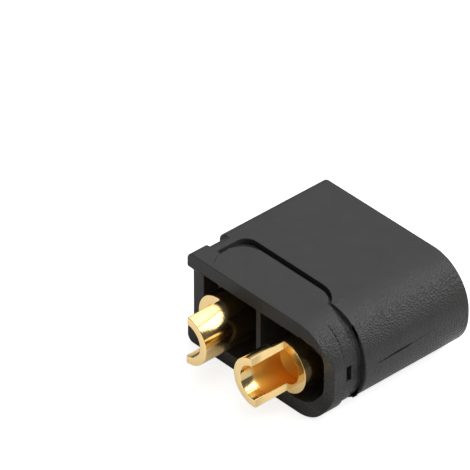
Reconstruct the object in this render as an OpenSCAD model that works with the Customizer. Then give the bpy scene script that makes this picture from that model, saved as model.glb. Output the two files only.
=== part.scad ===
// Two-pole power connector, pin half: a black moulded housing with two turned
// contacts. The contacts' axes run along Y, with the solder cups towards -Y and the
// plug mouth towards +Y. It lies on one of its wide faces, on Z = 0.
// The -X end of the housing is flat and the +X end is rounded, so that it mates one way.

/* [Housing shroud] */
// Width of the shroud, across both contacts
body_w = 15.9; // [15.4:0.1:17.5]
// Thickness of the housing, from wide face to wide face
body_t = 8.1; // [7.7:0.1:9.2]
// Length of the shroud, from its rear step to the mouth
shroud_l = 10.45; // [9.4:0.05:12]
// Wall of the shroud round the mouth
shroud_wall = 0.8; // [0.6:0.05:1]
// Corner radius at the flat end of the shroud
flat_corner_r = 0.75; // [0.4:0.05:1]
// Corner radius at the rounded end of the shroud
round_corner_r = 3.8; // [3:0.1:3.8]
// Lead-in chamfer inside the mouth
mouth_lead = 0.25; // [0.1:0.05:0.4]

/* [Housing rim and neck] */
// Width of the rim round the solder chambers
rim_w = 15.3; // [14.9:0.1:15.4]
// Length of the rim
rim_l = 1.65; // [1.3:0.05:2]
// Wall of the rim above and below the solder chambers
rim_wall = 1.25; // [0.9:0.05:1.4]
// Wall of the rim at both ends of the solder chambers
rim_end_wall = 1.15; // [0.9:0.05:1.3]
// Corner radius at the flat end of the rim
rim_flat_r = 0.6; // [0.3:0.05:0.8]
// Corner radius at the rounded end of the rim
rim_round_r = 3.2; // [2.6:0.1:3.7]
// Length of the neck, between rim and shroud
neck_l = 1.8; // [1.5:0.05:2.2]
// Step from the shroud in to the neck at both ends
neck_end_step = 0.55; // [0.4:0.05:0.7]
// Corner radius at the flat end of the neck
neck_flat_r = 0.7; // [0.4:0.05:0.9]
// Corner radius at the rounded end of the neck
neck_round_r = 3.2; // [2.6:0.1:3.7]

/* [Label pads] */
// Length of the bare pad on each wide face
pad_l = 10.4; // [9:0.1:10.8]
// Length of the pad from the rim's rear face towards the mouth
pad_h = 4.1; // [3.8:0.05:4.5]
// Shift of the pad from the middle towards the flat end
pad_shift = 0.72; // [0.5:0.02:0.8]
// Width of the groove between the pad and the shroud
pad_groove = 0.5; // [0.35:0.05:0.6]
// Depth of that groove
groove_depth = 0.5; // [0.35:0.05:0.6]
// Width to which the groove narrows beside the pad's flat end
flat_groove = 0.28; // [0.2:0.02:0.35]
// Corner radius of the groove's outer edge at the flat end
groove_corner_r = 1; // [0.8:0.1:1.5]
// Width to which the groove would narrow beside the pad's rounded end
round_groove = 0.1; // [0.06:0.02:0.2]
// Distance from the rim's rear face at which the groove ends there
groove_end = 3.2; // [3:0.05:3.4]

/* [Solder chambers] */
// Depth of the two solder chambers behind the contacts' floor
chamber_depth = 3.2; // [2.9:0.05:3.6]
// Thickness of the web between the two chambers
web_t = 0.5; // [0.4:0.05:0.9]
// How far the web stays below the rim
web_drop = 0.1; // [0:0.05:0.5]
// Depth of the notch in the rim's wall at each end
notch_depth = 0.6; // [0.3:0.05:0.8]
// Height of the notch's floor at the flat end
flat_notch_h = 4; // [3.2:0.1:4.2]
// Height of the notch's floor at the rounded end
round_notch_h = 2.8; // [2.4:0.1:3]
// How much higher the notch's slopes reach at the rim's face at the flat end, above and below
flat_notch_slope = 0.75; // [0.3:0.05:0.8]
// The same at the rounded end, where the slopes are long
round_notch_slope = 1.4; // [1:0.05:1.4]
// Length along Y of the latch window in each end of the neck
window_l = 0.45; // [0.3:0.05:0.7]
// Height of the latch window
window_h = 1.3; // [1:0.1:2]
// Distance from the rim to the latch window
window_gap = 0.45; // [0.25:0.05:0.6]

/* [Contacts] */
// Distance between the contacts' axes
pitch = 7.2; // [7:0.05:7.3]
// Outer diameter of the solder cup
cup_d = 4.2; // [3.9:0.05:4.5]
// Bore of the solder cup
cup_bore = 2.85; // [2.5:0.05:3.1]
// How far the cup stands out behind the rim
cup_out = 3.68; // [3.2:0.02:4.2]
// Length of the cup that is milled open to half, down to the body's end face
cup_open_l = 3.14; // [2.8:0.02:3.5]
// Depth of the full bore inside the body
blind_l = 0.8; // [0.5:0.1:1.8]
// Diameter of the contact's body, from its end face into its seat in the floor
body_d = 4.4; // [4.3:0.05:4.9]
// Turn of the flat-end contact about its axis, in degrees
flat_turn = -2; // [-12:1:12]
// Turn of the rounded-end contact about its axis, in degrees
round_turn = 7; // [-12:1:12]

/* [Pins and floor] */
// Thickness of the floor that holds the contacts
floor_t = 2.7; // [2.4:0.05:3.2]
// Depth of the body's seat in the floor
seat_depth = 1.3; // [1:0.05:1.6]
// Diameter of the bullet pin
pin_d = 3.5; // [3.3:0.05:3.6]
// Diameter of the pin's root, which fills the hole through the floor
root_d = 4; // [3.9:0.05:4.1]
// How far the pin's root stands out of the floor
root_out = 0.15; // [0.05:0.05:0.4]
// Bore inside the split pin
pin_bore = 1.5; // [1:0.1:1.8]
// Width of the four slots in the pin
slot_w = 0.4; // [0.25:0.05:0.6]
// Length of the slots from the pin's tip
slot_l = 5.6; // [5:0.1:6]
// Depth of the pin's bore from its tip
pin_bore_l = 6.4; // [6.1:0.1:8]
// Length of the chamfer on the pin's tip
tip_l = 0.5; // [0.3:0.05:0.8]
// Angle between the chamfer and the pin's axis, in degrees
tip_angle = 25; // [15:1:35]
// How far the pin's tip stays inside the mouth
tip_setback = 0.7; // [0.3:0.1:1.5]
// Clearance round each contact in the floor
fit = 0.02; // [0.01:0.01:0.06]

/* [Hidden] */
$fn = 96;

black = [0.11, 0.11, 0.115];
gold = [0.87, 0.69, 0.35];

// A little overshoot, so that every cut passes its face
cut = 1;
// Least straight stretch between the two large corners of a rounded end
round_gap = 0.1;
// Angle of the drill's tip at the bottom of a blind bore
drill_angle = 118;

neck_y = rim_l + neck_l;
body_l = neck_y + shroud_l;
mid_z = body_t / 2;
// The part's own frame has its origin under the middle of the whole length
rear_y = (cup_out - body_l) / 2;

neck_w = body_w - 2 * neck_end_step;
chamber_w = rim_w - 2 * rim_end_wall;
chamber_t = body_t - 2 * rim_wall;
mouth_w = body_w - 2 * shroud_wall;
mouth_t = body_t - 2 * shroud_wall;
mouth_flat_r = 0.3;
mouth_round_r = round_corner_r - shroud_wall;
chamber_flat_r = 0.3;
chamber_round_r = rim_round_r - rim_wall;

floor_y = chamber_depth;
seat_y = floor_y + seat_depth;
floor_end_y = floor_y + floor_t;
pad_r = pad_h / 2;

// Axial places on a contact, from the open end of its cup
body_a = cup_open_l;
floor_a = cup_out + floor_y;
seat_a = cup_out + seat_y;
root_a = cup_out + floor_end_y + root_out;
tip_a = cup_out + body_l - tip_setback;
tip_r = pin_d / 2 - tip_l * tan(tip_angle);

// Outline of the housing with small corners at the flat end and large ones at the
// rounded end, centred on X and standing on its lower edge
module outline(w, t, flat_r, round_r) {
  big = min(round_r, (t - round_gap) / 2);
  translate([-w / 2 + flat_r, 0])
    square([w - flat_r - big, t]);
  translate([-w / 2, flat_r])
    square([w / 2, t - 2 * flat_r]);
  translate([0, big])
    square([w / 2, t - 2 * big]);
  for (z = [flat_r, t - flat_r])
    translate([-w / 2 + flat_r, z])
      circle(r = flat_r);
  for (z = [big, t - big])
    translate([w / 2 - big, z])
      circle(r = big);
}

// Extrudes an XZ outline along Y, from y to y + l behind the rim's face
module along(y, l) {
  translate([0, rear_y + y + l, 0])
    rotate([90, 0, 0])
      linear_extrude(height = l)
        children();
}

// Outline of the pad in the XY plane
module pad_outline() {
  half = pad_l / 2 - pad_r;
  translate([-pad_shift, rear_y + pad_r]) {
    for (s = [-1, 1])
      translate([s * half, 0])
        circle(r = pad_r);
    translate([-half, -pad_r])
      square([2 * half, pad_h]);
  }
}

// Outer edge of the groove: it follows the pad at the rounded end, down to where the
// groove ends, and has a tighter corner at the flat end, where it runs on to the rim
module groove_outline() {
  far_y = rear_y + pad_h + pad_groove;
  flat_x = -pad_shift - pad_l / 2 - flat_groove;
  reach = pad_r + pad_groove;
  round_x = -pad_shift + pad_l / 2 + round_groove - reach;
  translate([flat_x + groove_corner_r, far_y - groove_corner_r])
    circle(r = groove_corner_r);
  translate([flat_x, rear_y])
    square([-flat_x, far_y - groove_corner_r - rear_y]);
  translate([flat_x + groove_corner_r, rear_y + groove_end])
    square([round_x - flat_x - groove_corner_r, far_y - rear_y - groove_end]);
  intersection() {
    translate([round_x, rear_y + pad_r])
      circle(r = reach);
    translate([0, rear_y + groove_end])
      square([body_w, pad_h]);
  }
}

// Rim, neck and shroud as one outer form. The groove round each pad is cut into the
// neck and the shroud.
module outer_form() {
  along(0, rim_l)
    outline(rim_w, body_t, rim_flat_r, rim_round_r);
  difference() {
    union() {
      along(rim_l / 2, neck_l + rim_l / 2 + cut)
        outline(neck_w, body_t, neck_flat_r, neck_round_r);
      along(neck_y, shroud_l)
        outline(body_w, body_t, flat_corner_r, round_corner_r);
    }
    for (z = [-cut, body_t - groove_depth])
      translate([0, 0, z])
        linear_extrude(height = groove_depth + cut)
          difference() {
            groove_outline();
            pad_outline();
          }
  }
}

// Solder chambers: one hollow in the rim and neck, divided by the web
module chambers() {
  difference() {
    translate([0, 0, rim_wall])
      along(-cut, chamber_depth + cut)
        outline(chamber_w, chamber_t, chamber_flat_r, chamber_round_r);
    translate([-web_t / 2, rear_y + web_drop, 0])
      cube([web_t, chamber_depth, body_t]);
  }
}

// Notch through one end wall of the rim, with sloped ends that run out at the rim's face
module notch(side, h, slope) {
  run = slope / notch_depth;
  face_h = h + 2 * slope;
  open_h = face_h + 2 * run * cut;
  translate([side < 0 ? -pitch / 2 : body_w, rear_y, mid_z])
    rotate([0, -90, 0])
      linear_extrude(height = body_w - pitch / 2)
        polygon([
          [-h / 2, notch_depth],
          [h / 2, notch_depth],
          [open_h / 2, -cut],
          [-open_h / 2, -cut]
        ]);
}

// Latch window through one end wall of the neck
module window(side) {
  translate([side < 0 ? -body_w : pitch / 2, rear_y + rim_l + window_gap, mid_z - window_h / 2])
    cube([body_w - pitch / 2, window_l, window_h]);
}

// Hollow of the shroud, with a lead-in at its mouth
module mouth() {
  translate([0, 0, shroud_wall])
    along(floor_end_y, body_l - floor_end_y + cut)
      outline(mouth_w, mouth_t, mouth_flat_r, mouth_round_r);
  translate([0, 0, shroud_wall - mouth_lead])
    along(body_l - mouth_lead, mouth_lead + cut)
      outline(mouth_w + 2 * mouth_lead, mouth_t + 2 * mouth_lead,
              mouth_flat_r + mouth_lead, mouth_round_r + mouth_lead);
}

// Puts a form that was turned about Z onto a contact's axis, with its start at the
// open end of the cup
module on_axis(side) {
  translate([side * pitch / 2, rear_y - cup_out, mid_z])
    rotate([-90, 0, 0])
      children();
}

// Stepped hole in the floor for one contact
module contact_hole(side) {
  on_axis(side) {
    translate([0, 0, floor_a - cut])
      cylinder(d = body_d + 2 * fit, h = seat_depth + cut);
    translate([0, 0, seat_a - cut])
      cylinder(d = root_d + 2 * fit, h = floor_t + cut);
  }
}

module housing() {
  color(black)
    difference() {
      outer_form();
      chambers();
      notch(-1, flat_notch_h, flat_notch_slope);
      notch(1, round_notch_h, round_notch_slope);
      window(-1);
      window(1);
      mouth();
      contact_hole(-1);
      contact_hole(1);
    }
}

// Turned outline of a contact: cup, wider body, root and pin
module turned_blank() {
  rotate_extrude()
    polygon([
      [0, 0],
      [cup_d / 2, 0],
      [cup_d / 2, body_a],
      [body_d / 2, body_a],
      [body_d / 2, seat_a],
      [root_d / 2, seat_a],
      [root_d / 2, root_a],
      [pin_d / 2, root_a],
      [pin_d / 2, tip_a - tip_l],
      [tip_r, tip_a],
      [0, tip_a]
    ]);
}

// Blind bore of the solder cup, ending in the drill's cone
module cup_drill() {
  depth = body_a + blind_l;
  translate([0, 0, -cut])
    cylinder(d = cup_bore, h = depth + cut);
  translate([0, 0, depth])
    cylinder(d1 = cup_bore, d2 = 0, h = cup_bore / 2 / tan(drill_angle / 2));
}

// Contact with its cup milled open to half and its pin split by two crossing slots.
// Both contacts are the same piece, seated with the cup open to the housing's near end.
module contact(side, turn) {
  on_axis(side)
    rotate([0, 0, side < 0 ? 180 - turn : -turn])
      difference() {
        turned_blank();
        cup_drill();
        translate([0, -cup_d, -cut])
          cube([cup_d, 2 * cup_d, body_a + cut]);
        translate([0, 0, tip_a - pin_bore_l])
          cylinder(d = pin_bore, h = pin_bore_l + cut);
        for (a = [45, 135])
          rotate([0, 0, a])
            translate([-pin_d, -slot_w / 2, tip_a - slot_l])
              cube([2 * pin_d, slot_w, slot_l + cut]);
      }
}

module flat_side_contact() {
  color(gold)
    contact(-1, flat_turn);
}

module round_side_contact() {
  color(gold)
    contact(1, round_turn);
}

housing();
flat_side_contact();
round_side_contact();
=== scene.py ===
import math

import bmesh
import bpy
from mathutils import Matrix, Vector


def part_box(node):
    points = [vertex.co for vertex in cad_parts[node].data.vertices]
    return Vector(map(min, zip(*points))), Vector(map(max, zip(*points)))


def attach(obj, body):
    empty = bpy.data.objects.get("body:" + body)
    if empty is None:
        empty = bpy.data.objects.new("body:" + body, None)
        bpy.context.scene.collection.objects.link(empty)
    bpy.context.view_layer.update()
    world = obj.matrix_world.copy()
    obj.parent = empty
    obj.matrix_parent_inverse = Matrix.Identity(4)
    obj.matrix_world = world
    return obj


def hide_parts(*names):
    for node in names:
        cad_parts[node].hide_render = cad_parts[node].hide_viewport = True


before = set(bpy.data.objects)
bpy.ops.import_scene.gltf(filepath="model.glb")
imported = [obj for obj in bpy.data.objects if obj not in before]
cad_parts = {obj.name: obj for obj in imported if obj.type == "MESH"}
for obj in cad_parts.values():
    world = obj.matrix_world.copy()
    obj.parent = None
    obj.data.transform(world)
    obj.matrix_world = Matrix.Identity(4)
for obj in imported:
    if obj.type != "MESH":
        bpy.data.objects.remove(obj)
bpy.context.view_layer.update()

MM = 0.001

# Housing
# One injection moulding in black glass-filled nylon. The mould is nearly plain on the wide faces
# and spark-eroded at the rounded end, where the plastic has a grain that glints. Places along Y
# count from the housing's rear face.

REAR_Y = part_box("housing")[0].y
END_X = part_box("housing")[1].x
HOUSING_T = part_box("housing")[1].z
NECK_END = 3.45 * MM
NECK_X, NECK_R = 7.4 * MM, 3.2 * MM
NECK_INSIDE = 4.45 * MM
WELD, MERGE = 0.001 * MM, 0.02 * MM
NEAR, VERY_NEAR, SLIVER = 0.01 * MM, 0.002 * MM, 0.008 * MM
FLAT, SHARP = math.radians(0.5), math.radians(28)
EDGE_R, SHROUD_R = 0.05 * MM, 0.1 * MM
NOTCH_SPAN, NOTCH_DEPTH = (4.5 * MM, 9.0 * MM), 0.61 * MM
FLAT_NOTCH, ROUND_NOTCH = (2.0 * MM, 2.9 * MM), (1.4 * MM, 3.15 * MM)
RIM_L = 1.65 * MM
ROD_SIDES, END_STEPS = 20, 48
ROD_SHIFT, MIDDLE_DEPTH = 0.92, 0.35
END_GROOVE_FROM, END_GROOVE_R = 2.7 * MM, 0.32 * MM
RIM_LINE_R = 0.09 * MM
RIM_LINE_END = RIM_L + 1.92 * RIM_LINE_R
PAD_X, PAD_R = -3.87 * MM, 2.05 * MM
PAD_LINE_STEPS, PAD_LINE_FROM, PAD_LINE_TURN = 13, 172, 4.4
PAD_LINE_HALF, PAD_LINE_TAPER = 0.09, 0.006
PARTING_GAP = ((4.5, 0.01), (5.1, 0.05), (5.9, 0.1), (6.8, 0.13), (7.6, 0.1), (8.3, 0.035), (10.6, 0.01))
PARTING_Z, PARTING_MIDDLE, PARTING_SLOPE = 4.15 * MM, 6.5 * MM, 0.03
PARTING_DEPTH, PARTING_OUT = 0.5 * MM, 0.1 * MM
NYLON_SPECULAR, NYLON_ROUGH, ERODED_ROUGH = 0.29, 0.5, 0.13
ERODED_SPAN, PLAIN_SHARE = (4.8 * MM, 5.9 * MM), 0.08
OUTSIDE_SPAN = (REAR_Y + 0.02 * MM, REAR_Y + 0.1 * MM)
GRAIN_SCALE, GRAIN_DEPTH = 7000.0, 0.042 * MM
DARKER, LIGHTER = (0.047, 0.046, 0.045, 1.0), (0.053, 0.053, 0.053, 1.0)
PATCH_SCALE, PATCH_DETAIL = 700.0, 4.0


def material(name, base, roughness):
    """A node material with its shader, whose constants sit on the shader's own sockets."""
    made = bpy.data.materials.new(name)
    made.use_nodes = True
    shader = made.node_tree.nodes["Principled BSDF"]
    shader.inputs["Base Color"].default_value = (*base, 1.0)
    shader.inputs["Roughness"].default_value = roughness
    return made, made.node_tree.nodes, made.node_tree.links, shader


def computed(nodes, links, operation, *values):
    """The output of a math node for a row of sockets and constants."""
    made = nodes.new("ShaderNodeMath")
    made.operation = operation
    for entry, value in zip(made.inputs, values):
        if isinstance(value, float):
            entry.default_value = value
        else:
            links.new(value, entry)
    return made.outputs["Value"]


def ramp(nodes, links, value, start, end, low=0.0, high=1.0, kind="SMOOTHSTEP"):
    """Goes from low to high while the value goes from start to end."""
    made = nodes.new("ShaderNodeMapRange")
    made.interpolation_type = kind
    made.inputs["From Min"].default_value = start
    made.inputs["From Max"].default_value = end
    made.inputs["To Min"].default_value = low
    made.inputs["To Max"].default_value = high
    links.new(value, made.inputs["Value"])
    return made.outputs["Result"]


def dented(nodes, links, shader, height, depth):
    """Shapes the shader's surface by a height that is at most 1."""
    dents = nodes.new("ShaderNodeBump")
    dents.inputs["Strength"].default_value = 1.0
    dents.inputs["Distance"].default_value = depth
    links.new(height, dents.inputs["Height"])
    links.new(dents.outputs["Normal"], shader.inputs["Normal"])


def welded(form):
    """Merges a form's loose triangles and dissolves the edges inside its flat faces."""
    bmesh.ops.remove_doubles(form, verts=form.verts, dist=WELD)
    bmesh.ops.dissolve_limit(form, angle_limit=FLAT, verts=form.verts, edges=form.edges)


def carved(form, cutter):
    """The form with the cutter's space taken away from it."""
    holders = []
    for name, part in (("blank", form), ("cutter", cutter)):
        mesh = bpy.data.meshes.new(name)
        part.to_mesh(mesh)
        part.free()
        holders.append(bpy.data.objects.new(name, mesh))
        bpy.context.scene.collection.objects.link(holders[-1])
    cut = holders[0].modifiers.new("cut", "BOOLEAN")
    cut.solver = "EXACT"
    cut.object = holders[1]
    graph = bpy.context.evaluated_depsgraph_get()
    mesh = bpy.data.meshes.new_from_object(holders[0].evaluated_get(graph))
    for holder in holders:
        bpy.data.objects.remove(holder)
    made = bmesh.new()
    made.from_mesh(mesh)
    return made


def loft(rings):
    """A closed form through a row of rings with equal counts of points."""
    form = bmesh.new()
    rows = [[form.verts.new(point) for point in ring] for ring in rings]
    for one, other in zip(rows, rows[1:]):
        for i in range(len(one)):
            j = (i + 1) % len(one)
            form.faces.new((one[i], one[j], other[j], other[i]))
    form.faces.new(rows[0])
    form.faces.new(rows[-1])
    bmesh.ops.recalc_face_normals(form, faces=form.faces)
    return form


def soft_notch(side, flat_half, reach):
    """The space over one end wall of the rim: a dip whose floor runs out smoothly to the rim's face."""
    steps = 14
    runs = [reach - (reach - flat_half) * k / steps for k in range(steps + 1)]
    profile = []
    for out in [-run for run in runs] + runs[::-1]:
        share = (reach - abs(out)) / (reach - flat_half)
        profile.append((NOTCH_DEPTH * share * share * (3 - 2 * share), out))
    profile = [(-NOTCH_DEPTH, -reach)] + profile + [(-NOTCH_DEPTH, reach)]
    return loft([[Vector((side * x, REAR_Y + depth, HOUSING_T / 2 + out)) for depth, out in profile]
                 for x in NOTCH_SPAN])


def rod(stations):
    """A closed rod through stations, each a place with the two half axes of its section."""
    circle = [2 * math.pi * k / ROD_SIDES for k in range(ROD_SIDES)]
    return loft([[place + math.cos(a) * across + math.sin(a) * out for a in circle]
                 for place, across, out in stations])


def end_rod(back, radius, start, depth):
    """A rod bent along the neck's rounded end, thin beside the wide faces and shallow at mid height."""
    stations = []
    for i in range(start, 2 * END_STEPS + 1 - start):
        angle = math.radians(90) * (1 - i / END_STEPS)
        out = Vector((math.cos(angle), 0, math.sin(angle)))
        place = Vector((NECK_X - NECK_R, REAR_Y + back, HOUSING_T / 2)) + NECK_R * out
        place.z += (HOUSING_T / 2 - NECK_R) * (1 if i <= END_STEPS else -1)
        # Towards mid height it thickens from a quarter of the radius, then thins to 0.4 of it.
        share = min(i - start, 2 * END_STEPS - start - i) / END_STEPS
        here = radius * min(0.25 + 2.2 * share, 1.0, 2.2 - 1.8 * share)
        place.y -= ROD_SHIFT * here
        high = here * (depth + (MIDDLE_DEPTH - depth) * min(1.2 * share, 1.0))
        stations.append((place, Vector((0, here, 0)), high * out))
    return rod(stations)


def pad_rod(z):
    """A thin rod round the flat end of a pad, where its outline runs on into the rim."""
    stations = []
    for i in range(PAD_LINE_STEPS):
        angle = math.radians(PAD_LINE_FROM + PAD_LINE_TURN * i)
        out = Vector((math.cos(angle), math.sin(angle), 0))
        place = Vector((PAD_X, REAR_Y + PAD_R, z)) + PAD_R * out
        half = (PAD_LINE_HALF - PAD_LINE_TAPER * i) * MM
        stations.append((place, half * out, Vector((0, 0, 1.3 * half))))
    return rod(stations)


def parting_gap():
    """A long thin wedge along the rounded end, where the mould's halves have left a gap."""
    rings = []
    for along, gap in PARTING_GAP:
        y = REAR_Y + along * MM
        z = PARTING_Z + PARTING_SLOPE * (along * MM - PARTING_MIDDLE)
        rings.append([Vector((END_X + PARTING_OUT, y, z + gap * MM)),
                      Vector((END_X - PARTING_DEPTH, y, z)),
                      Vector((END_X + PARTING_OUT, y, z - gap * MM))])
    return loft(rings)


def piece(name, form, finish, node):
    """Makes a finished object from a form and lets it stand for the node."""
    mesh = bpy.data.meshes.new(name)
    form.to_mesh(mesh)
    form.free()
    mesh.materials.append(finish)
    made = bpy.data.objects.new(name, mesh)
    bpy.context.scene.collection.objects.link(made)
    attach(made, "root")
    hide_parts(node)
    return made


def weight_edges(form, radius_of):
    """Gives each edge the radius that it is rounded to: 0 keeps it crisp, and None leaves it smooth."""
    layer = form.edges.layers.float.new("bevel_weight_edge")
    for edge in form.edges:
        radius = radius_of(edge, edge.calc_face_angle(0))
        edge.smooth = radius != 0
        if radius:
            edge[layer] = radius / SHROUD_R


def round_edges(made, segments):
    """Rounds the weighted edges."""
    bevel = made.modifiers.new("rounded edges", "BEVEL")
    bevel.limit_method = "WEIGHT"
    bevel.width = SHROUD_R
    bevel.segments = segments
    bevel.use_clamp_overlap = False
    level = made.modifiers.new("flat faces stay flat", "WEIGHTED_NORMAL")
    level.keep_sharp = True
    for face in made.data.polygons:
        face.use_smooth = True


def housing_radius(edge, angle):
    """Radius of a housing edge by its place and angle."""
    start, end = (v.co for v in edge.verts)
    middle = (start + end) / 2
    back = middle.y - REAR_Y
    along_y = abs(start.y - end.y) > NEAR
    in_gap = along_y and middle.x > END_X - PARTING_DEPTH and abs(middle.z - PARTING_Z) < PARTING_DEPTH
    sliver = (end - start).length < SLIVER
    if angle < SHARP or sliver or (abs(back - NECK_INSIDE) < NEAR and middle.x > 0):
        return None
    from_middle = math.hypot(middle.x - END_X + HOUSING_T / 2, middle.z - HOUSING_T / 2)
    in_groove = (middle.x > NECK_X - NECK_R and END_GROOVE_FROM < back < NECK_END + EDGE_R
                 and from_middle < HOUSING_T / 2 - 2 * NEAR)
    on_rim_front = abs(back - RIM_L) < NEAR and not along_y
    if not edge.is_convex or in_gap or in_groove or on_rim_front:
        return 0
    if abs(back - NECK_END) < VERY_NEAR and not along_y:
        return SHROUD_R
    return EDGE_R


nylon, nodes, links, shader = material("black nylon", (0.05, 0.05, 0.05), NYLON_ROUGH)
shader.inputs["Specular IOR Level"].default_value = NYLON_SPECULAR
place = nodes.new("ShaderNodeTexCoord")
where = nodes.new("ShaderNodeSeparateXYZ")
links.new(place.outputs["Object"], where.inputs["Vector"])
eroded = ramp(nodes, links, where.outputs["X"], *ERODED_SPAN, low=PLAIN_SHARE)
outside = ramp(nodes, links, where.outputs["Y"], *OUTSIDE_SPAN, kind="LINEAR")
rough_side = computed(nodes, links, "MULTIPLY", eroded, outside)
grain = nodes.new("ShaderNodeTexVoronoi")
grain.inputs["Scale"].default_value = GRAIN_SCALE
links.new(place.outputs["Object"], grain.inputs["Vector"])
height = computed(nodes, links, "MULTIPLY", grain.outputs["Distance"], rough_side)
dented(nodes, links, shader, height, GRAIN_DEPTH)
patches = nodes.new("ShaderNodeTexNoise")
patches.inputs["Scale"].default_value = PATCH_SCALE
patches.inputs["Detail"].default_value = PATCH_DETAIL
links.new(place.outputs["Object"], patches.inputs["Vector"])
tone = nodes.new("ShaderNodeValToRGB")
tone.color_ramp.elements[0].position = 0.3
tone.color_ramp.elements[1].position = 0.7
tone.color_ramp.elements[0].color = DARKER
tone.color_ramp.elements[1].color = LIGHTER
links.new(patches.outputs["Fac"], tone.inputs["Fac"])
links.new(tone.outputs["Color"], shader.inputs["Base Color"])
dull = ramp(nodes, links, rough_side, 0.0, 1.0, NYLON_ROUGH, ERODED_ROUGH, "LINEAR")
links.new(dull, shader.inputs["Roughness"])

form = bmesh.new()
form.from_mesh(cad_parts["housing"].data)
bmesh.ops.remove_doubles(form, verts=form.verts, dist=WELD)
for cutter in (soft_notch(-1, *FLAT_NOTCH), soft_notch(1, *ROUND_NOTCH)):
    form = carved(form, cutter)
welded(form)
bmesh.ops.remove_doubles(form, verts=form.verts, dist=MERGE)
end_groove = end_rod(NECK_END, END_GROOVE_R, start=-1, depth=1.8)
rim_line = end_rod(RIM_LINE_END, RIM_LINE_R, start=15, depth=1.2)
for cutter in (end_groove, rim_line, pad_rod(0), pad_rod(HOUSING_T), parting_gap()):
    form = carved(form, cutter)
welded(form)
weight_edges(form, housing_radius)
housing = piece("moulded_housing", form, nylon, "housing")
round_edges(housing, 4)

# Contacts
# Two equal brass contacts, turned, drilled, milled open at the cup and sawn into four fingers at
# the pin, then gold plated. They are pressed into the housing's floor from the rear. Inside a cup
# the plating is duller, and its colour turns a darker, deeper orange: painted shade for the light
# that bounces between the bore's walls. Both start a short way in from the cup's end. Places along
# Y count from the end of the cups.

TURNS = 128
FINGERS = 4
PITCH = 7.2 * MM
CUP_R, BORE_R = 2.1 * MM, 1.425 * MM
BODY_R, ROOT_R, PIN_R = 2.2 * MM, 2.0 * MM, 1.75 * MM
PIN_BORE_R, TIP_R = 0.75 * MM, 1.517 * MM
SHELF, BLIND_END = 3.14 * MM, 3.94 * MM
SEAT, ROOT_END, SLOT_END = 8.18 * MM, 9.73 * MM, 11.28 * MM
PIN_BORE_END, TIP = 10.48 * MM, 16.88 * MM
TIP_L = 0.5 * MM
SLOT_W = 0.4 * MM
DRILL_HALF_ANGLE = math.radians(59)
CUP_EDGE_R = 0.035 * MM
CUP_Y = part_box("flat_side_contact")[0].y
OPEN_TOWARDS = {"flat": 178.0, "round": 7.0}
# The second colour is a darker, deeper orange painted into the bore: painted shade for the light that
# bounces between its walls.
PLATED, BORE_PAINTED_SHADE = (1.0, 0.73, 0.34), (1.0, 0.57, 0.1)
PLATED_ROUGH, BORED_ROUGH = 0.13, 0.55
BORED_WALL, BORED_FROM = (BORE_R + 0.1 * MM, BORE_R + 0.02 * MM), (CUP_Y + 0.9 * MM, CUP_Y + 1.5 * MM)
TOOL_LINES, TOOL_DEPTH = (600.0, 18000.0, 600.0), 0.0035 * MM


def ring(form, centre, radius, along, first=0, last=TURNS - 1, turn=0.0):
    """Points on a circle round the contact's axis, from one step of the circle to another."""
    points = []
    for step in range(first, last + 1):
        angle = turn + 2 * math.pi * step / TURNS
        out = Vector((radius * math.cos(angle), along, radius * math.sin(angle)))
        points.append(form.verts.new(centre + out))
    return points


def skin(form, one, other, closed=True):
    """Faces between two rows of points."""
    count = len(one)
    for i in range(count if closed else count - 1):
        j = (i + 1) % count
        form.faces.new((one[i], one[j], other[j], other[i]))


def cap(form, row, centre):
    """Closes a ring with a cone or a disc down to one point."""
    tip = form.verts.new(centre)
    for i in range(len(row)):
        form.faces.new((row[i], row[(i + 1) % len(row)], tip))


def turned_contact(centre, turn):
    """The contact without its fingers: half-open cup, body, root and the pin's solid start."""
    form = bmesh.new()
    quarter = TURNS // 4
    half = (quarter, 3 * quarter)
    end_out = ring(form, centre, CUP_R, 0, *half, turn)
    end_in = ring(form, centre, BORE_R, 0, *half, turn)
    foot = ring(form, centre, CUP_R, SHELF, *half, turn)
    shelf_in = ring(form, centre, BORE_R, SHELF, turn=turn)
    shelf_rim = ring(form, centre, BODY_R, SHELF, 3 * quarter + 1, 5 * quarter - 1, turn)
    wall = slice(quarter, 3 * quarter + 1)
    skin(form, end_out, foot, closed=False)
    skin(form, end_in, shelf_in[wall], closed=False)
    skin(form, end_out, end_in, closed=False)
    for side, step in ((0, quarter), (-1, 3 * quarter)):
        form.faces.new((end_out[side], end_in[side], shelf_in[step], foot[side]))
    shelf = [i % TURNS for i in range(3 * quarter, 5 * quarter + 1)]
    form.faces.new([foot[-1]] + shelf_rim + [foot[0]] + [shelf_in[i] for i in shelf][::-1])
    bore_end = ring(form, centre, BORE_R, BLIND_END, turn=turn)
    skin(form, shelf_in, bore_end)
    cone = BORE_R / math.tan(DRILL_HALF_ANGLE)
    cap(form, bore_end, centre + Vector((0, BLIND_END + cone, 0)))
    row = shelf_rim[quarter - 1:] + foot + shelf_rim[:quarter - 1]
    steps = ((BODY_R, SEAT), (ROOT_R, SEAT), (ROOT_R, ROOT_END), (PIN_R, ROOT_END),
             (PIN_R, SLOT_END), (PIN_BORE_R, SLOT_END), (PIN_BORE_R, PIN_BORE_END))
    for radius, along in steps:
        following = ring(form, centre, radius, along, turn=turn)
        skin(form, row, following)
        row = following
    cap(form, row, centre + Vector((0, PIN_BORE_END, 0)))
    bmesh.ops.recalc_face_normals(form, faces=form.faces)
    return form


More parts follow.
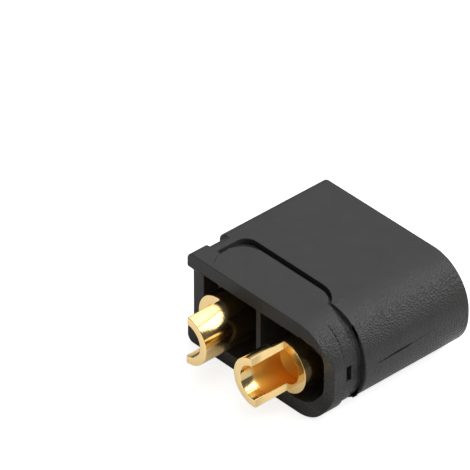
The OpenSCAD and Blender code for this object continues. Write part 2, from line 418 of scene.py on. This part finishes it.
def finger_form():
    """One of the pin's fingers, on the Y axis: a sector of a tube with a chamfered tip."""
    form = bmesh.new()
    steps = TURNS // FINGERS
    rows = []
    for along, outer in ((SLOT_END, PIN_R), (TIP - TIP_L, PIN_R), (TIP, TIP_R)):
        row = []
        for radius in (outer, PIN_BORE_R):
            reach = math.pi / FINGERS - math.asin(SLOT_W / 2 / radius)
            angles = [reach * (2 * i / steps - 1) for i in range(steps + 1)]
            row.append([form.verts.new((radius * math.cos(a), along, radius * math.sin(a))) for a in angles])
        rows.append(row[0] + row[1][::-1])
    for one, other in zip(rows, rows[1:]):
        skin(form, one, other)
    for row in (rows[0], rows[-1]):
        for i in range(steps):
            form.faces.new((row[i], row[i + 1], row[-2 - i], row[-1 - i]))
    bmesh.ops.recalc_face_normals(form, faces=form.faces)
    return form


def socket(tree, name, kind, default):
    """Adds a named input to a tree."""
    made = tree.interface.new_socket(name=name, in_out="INPUT", socket_type=kind)
    if default is not None:
        made.default_value = default
    return made.identifier


def finger_tree():
    """Sets copies of a finger in a ring round an axis along Y."""
    tree = bpy.data.node_groups.new("fingers in a ring", "GeometryNodeTree")
    sockets = {"Finger": socket(tree, "Finger", "NodeSocketGeometry", None),
               "Count": socket(tree, "Count", "NodeSocketInt", FINGERS),
               "Turn": socket(tree, "Turn", "NodeSocketFloat", 0.0),
               "Axis": socket(tree, "Axis", "NodeSocketVector", (0.0, 0.0, 0.0)),
               "Plating": socket(tree, "Plating", "NodeSocketMaterial", None)}
    tree.interface.new_socket(name="Fingers", in_out="OUTPUT", socket_type="NodeSocketGeometry")
    nodes, links = tree.nodes, tree.links
    given = nodes.new("NodeGroupInput")
    seats = nodes.new("GeometryNodeMeshLine")
    seats.inputs["Offset"].default_value = (0.0, 0.0, 0.0)
    links.new(given.outputs["Count"], seats.inputs["Count"])
    links.new(given.outputs["Axis"], seats.inputs["Start Location"])
    number = nodes.new("GeometryNodeInputIndex")
    share = computed(nodes, links, "DIVIDE", 2 * math.pi, given.outputs["Count"])
    angle = computed(nodes, links, "MULTIPLY_ADD", number.outputs["Index"], share, given.outputs["Turn"])
    about = nodes.new("ShaderNodeCombineXYZ")
    links.new(angle, about.inputs["Y"])
    copies = nodes.new("GeometryNodeInstanceOnPoints")
    links.new(seats.outputs["Mesh"], copies.inputs["Points"])
    links.new(given.outputs["Finger"], copies.inputs["Instance"])
    links.new(about.outputs["Vector"], copies.inputs["Rotation"])
    real = nodes.new("GeometryNodeRealizeInstances")
    links.new(copies.outputs["Instances"], real.inputs["Geometry"])
    coat = nodes.new("GeometryNodeSetMaterial")
    links.new(real.outputs["Geometry"], coat.inputs["Geometry"])
    links.new(given.outputs["Plating"], coat.inputs["Material"])
    result = nodes.new("NodeGroupOutput")
    links.new(coat.outputs["Geometry"], result.inputs["Fingers"])
    return tree, sockets


def ringed_fingers(tree, sockets, axis, turn, plating):
    """All fingers of one pin as a plain mesh."""
    mesh = bpy.data.meshes.new("finger")
    form = finger_form()
    form.to_mesh(mesh)
    form.free()
    holder = bpy.data.objects.new("finger", mesh)
    bpy.context.scene.collection.objects.link(holder)
    maker = holder.modifiers.new("fingers in a ring", "NODES")
    maker.node_group = tree
    maker[sockets["Count"]] = FINGERS
    maker[sockets["Turn"]] = -turn
    maker[sockets["Axis"]] = axis
    maker[sockets["Plating"]] = plating
    graph = bpy.context.evaluated_depsgraph_get()
    made = bpy.data.meshes.new_from_object(holder.evaluated_get(graph))
    bpy.data.objects.remove(holder)
    return made


def contact_radius(edge, angle):
    """Every convex edge of a contact is lightly broken, except where the fingers grow from the pin."""
    if angle < SHARP:
        return None
    start, end = (v.co.y - CUP_Y for v in edge.verts)
    if abs(start - SLOT_END) < NEAR and abs(end - SLOT_END) < NEAR:
        return 0
    return CUP_EDGE_R if edge.is_convex else 0


def measured(nodes, links, operation, vector, fixed):
    """One number from a socket's vector and a fixed one, such as their distance."""
    made = nodes.new("ShaderNodeVectorMath")
    made.operation = operation
    made.inputs[1].default_value = fixed
    links.new(vector, made.inputs[0])
    return made.outputs["Value"]


gold, nodes, links, shader = material("gold plating", PLATED, PLATED_ROUGH)
shader.inputs["Metallic"].default_value = 1.0
place = nodes.new("ShaderNodeTexCoord")
where = nodes.new("ShaderNodeSeparateXYZ")
links.new(place.outputs["Object"], where.inputs["Vector"])
beside = computed(nodes, links, "ABSOLUTE", where.outputs["X"])
across = nodes.new("ShaderNodeCombineXYZ")
links.new(beside, across.inputs["X"])
links.new(where.outputs["Z"], across.inputs["Z"])
axis = (PITCH / 2, 0, HOUSING_T / 2)
from_axis = measured(nodes, links, "DISTANCE", across.outputs["Vector"], axis)
drilled = ramp(nodes, links, from_axis, *BORED_WALL)
deep = ramp(nodes, links, where.outputs["Y"], *BORED_FROM)
inside = computed(nodes, links, "MULTIPLY", drilled, deep)
# Deep in the bore the colour mixes over to the painted shade colour, and the plating turns rougher.
tone = nodes.new("ShaderNodeMix")
tone.data_type = "RGBA"
tone.inputs[6].default_value = (*PLATED, 1.0)
tone.inputs[7].default_value = (*BORE_PAINTED_SHADE, 1.0)
links.new(inside, tone.inputs["Factor"])
links.new(tone.outputs[2], shader.inputs["Base Color"])
dull = ramp(nodes, links, inside, 0.0, 1.0, PLATED_ROUGH, BORED_ROUGH, "LINEAR")
links.new(dull, shader.inputs["Roughness"])
spread = nodes.new("ShaderNodeMapping")
spread.inputs["Scale"].default_value = TOOL_LINES
links.new(place.outputs["Object"], spread.inputs["Vector"])
lines = nodes.new("ShaderNodeTexNoise")
lines.inputs["Scale"].default_value = 1.0
links.new(spread.outputs["Vector"], lines.inputs["Vector"])
dented(nodes, links, shader, lines.outputs["Fac"], TOOL_DEPTH)

tree, sockets = finger_tree()
for side, x in (("flat", -PITCH / 2), ("round", PITCH / 2)):
    node = side + "_side_contact"
    centre = Vector((x, CUP_Y, HOUSING_T / 2))
    turn = math.radians(OPEN_TOWARDS[side])
    form = turned_contact(centre, turn)
    form.from_mesh(ringed_fingers(tree, sockets, centre, turn, gold))
    weight_edges(form, contact_radius)
    made = piece(side + "_side_turned_contact", form, gold, node)
    round_edges(made, 2)

# Studio
# A white table in a white tent, with one large soft light in a black frame high behind the mouth.
# The tent is brightest above, and it is open, and so dark, towards the solder cups, towards the
# rounded end and in a narrow part behind the flat end. SIDES holds these parts, each with its
# direction, the cosines where it starts and where it is full, and its share of the tent's level.
# In reflections the table is brighter in front of the cups.

TABLE_SIZE = 4.0
TABLE_ALBEDO = 0.72
SEEN_GLOW = 0.8
MIRRORED_GLOW = (0.06, 0.36)
IN_FRONT = (4 * MM, 9 * MM)
TENT_LEVEL = 1.1
SIDES = (((-0.55, -0.75, 0.35), 0.1, 0.65, 0.05), ((1.0, -0.1, 0.15), 0.35, 0.9, 0.1),
         ((-0.84, 0.54, 0.0), 0.85, 0.95, 0.1), ((-0.2, -0.2, 0.95), 0.65, 0.95, 2.2))
LAMP_PLACE, LAMP_POWER = (0.284, 0.302, 0.377), 1.85
LAMP_W, LAMP_H = 0.44, 0.47
FRAME_W, FRAME_BEHIND = 0.035, 1.01

bpy.ops.mesh.primitive_plane_add(size=TABLE_SIZE)
floor = bpy.context.object
floor.name = "table"
white, nodes, links, shader = material("white table", (TABLE_ALBEDO, TABLE_ALBEDO, TABLE_ALBEDO), 0.9)
shader.inputs["Specular IOR Level"].default_value = 0.0
shader.inputs["Emission Color"].default_value = (1.0, 1.0, 1.0, 1.0)
place = nodes.new("ShaderNodeTexCoord")
front = measured(nodes, links, "DOT_PRODUCT", place.outputs["Object"], (0.0, -1.0, 0.0))
bright = ramp(nodes, links, front, *IN_FRONT, *MIRRORED_GLOW)
rays = nodes.new("ShaderNodeLightPath")
mirrored = computed(nodes, links, "MULTIPLY", rays.outputs["Is Glossy Ray"], bright)
glow = computed(nodes, links, "MULTIPLY_ADD", rays.outputs["Is Camera Ray"], SEEN_GLOW, mirrored)
links.new(glow, shader.inputs["Emission Strength"])
floor.data.materials.append(white)

world = bpy.data.worlds.new("studio")
bpy.context.scene.world = world
world.use_nodes = True
nodes, links = world.node_tree.nodes, world.node_tree.links
place = nodes.new("ShaderNodeTexCoord")
level = TENT_LEVEL
for direction, start, full, share in SIDES:
    ahead = measured(nodes, links, "DOT_PRODUCT", place.outputs["Generated"], Vector(direction).normalized())
    side = ramp(nodes, links, ahead, start, full, 1.0, share)
    level = computed(nodes, links, "MULTIPLY", side, level)
rays = nodes.new("ShaderNodeLightPath")
shown = nodes.new("ShaderNodeMix")
shown.inputs["B"].default_value = 1.0
links.new(rays.outputs["Is Camera Ray"], shown.inputs["Factor"])
links.new(level, shown.inputs["A"])
links.new(shown.outputs["Result"], nodes["Background"].inputs["Strength"])
nodes["Background"].inputs["Color"].default_value = (1.0, 1.0, 1.0, 1.0)

lamp = bpy.data.objects.new("soft light", bpy.data.lights.new("soft light", "AREA"))
lamp.data.shape = "RECTANGLE"
lamp.data.size, lamp.data.size_y = LAMP_W, LAMP_H
lamp.data.energy = LAMP_POWER
lamp.location = LAMP_PLACE
lamp.rotation_mode = "QUATERNION"
lamp.rotation_quaternion = Vector(lamp.location).to_track_quat("Z", "Y")
bpy.context.scene.collection.objects.link(lamp)
bpy.ops.mesh.primitive_plane_add(size=1, location=FRAME_BEHIND * lamp.location)
frame_cloth = bpy.context.object
frame_cloth.name = "light_frame"
frame_cloth.scale = (LAMP_W + 2 * FRAME_W, LAMP_H + 2 * FRAME_W, 1)
frame_cloth.rotation_mode = "QUATERNION"
frame_cloth.rotation_quaternion = lamp.rotation_quaternion
cloth, nodes, links, shader = material("black cloth", (0.01, 0.01, 0.01), 1.0)
shader.inputs["Specular IOR Level"].default_value = 0.0
frame_cloth.data.materials.append(cloth)

# Camera: its distance, angles and framing were found by fitting the housing's outline
AZIMUTH, ELEVATION, ROLL = (math.radians(v) for v in (47.777, 35.885, -0.071))
DISTANCE = 469.008 * MM
FOCAL_PIXELS, FRAME_PIXELS = 6362.7, 470
AIM = Vector((0, REAR_Y + 5.0 * MM, HOUSING_T / 2))
OFFSET_RIGHT, OFFSET_UP = 5.319 * MM, -5.821 * MM
SENSOR_W = 36.0

back = Vector((math.sin(AZIMUTH) * math.cos(ELEVATION),
               -math.cos(AZIMUTH) * math.cos(ELEVATION),
               math.sin(ELEVATION)))
level_right = Vector((math.cos(AZIMUTH), math.sin(AZIMUTH), 0))
level_up = back.cross(level_right)
right = math.cos(ROLL) * level_right + math.sin(ROLL) * level_up
up = back.cross(right)
eye = AIM + DISTANCE * back - OFFSET_RIGHT * right - OFFSET_UP * up
camera = bpy.data.objects.new("camera", bpy.data.cameras.new("camera"))
camera.data.sensor_width = SENSOR_W
camera.data.lens = SENSOR_W * FOCAL_PIXELS / FRAME_PIXELS
camera.data.clip_start, camera.data.clip_end = 0.01, 10.0
facing = Matrix((right, up, back)).transposed().to_4x4()
camera.matrix_world = Matrix.Translation(eye) @ facing
bpy.context.scene.collection.objects.link(camera)
bpy.context.scene.camera = camera

bpy.context.scene.view_settings.view_transform = "Standard"
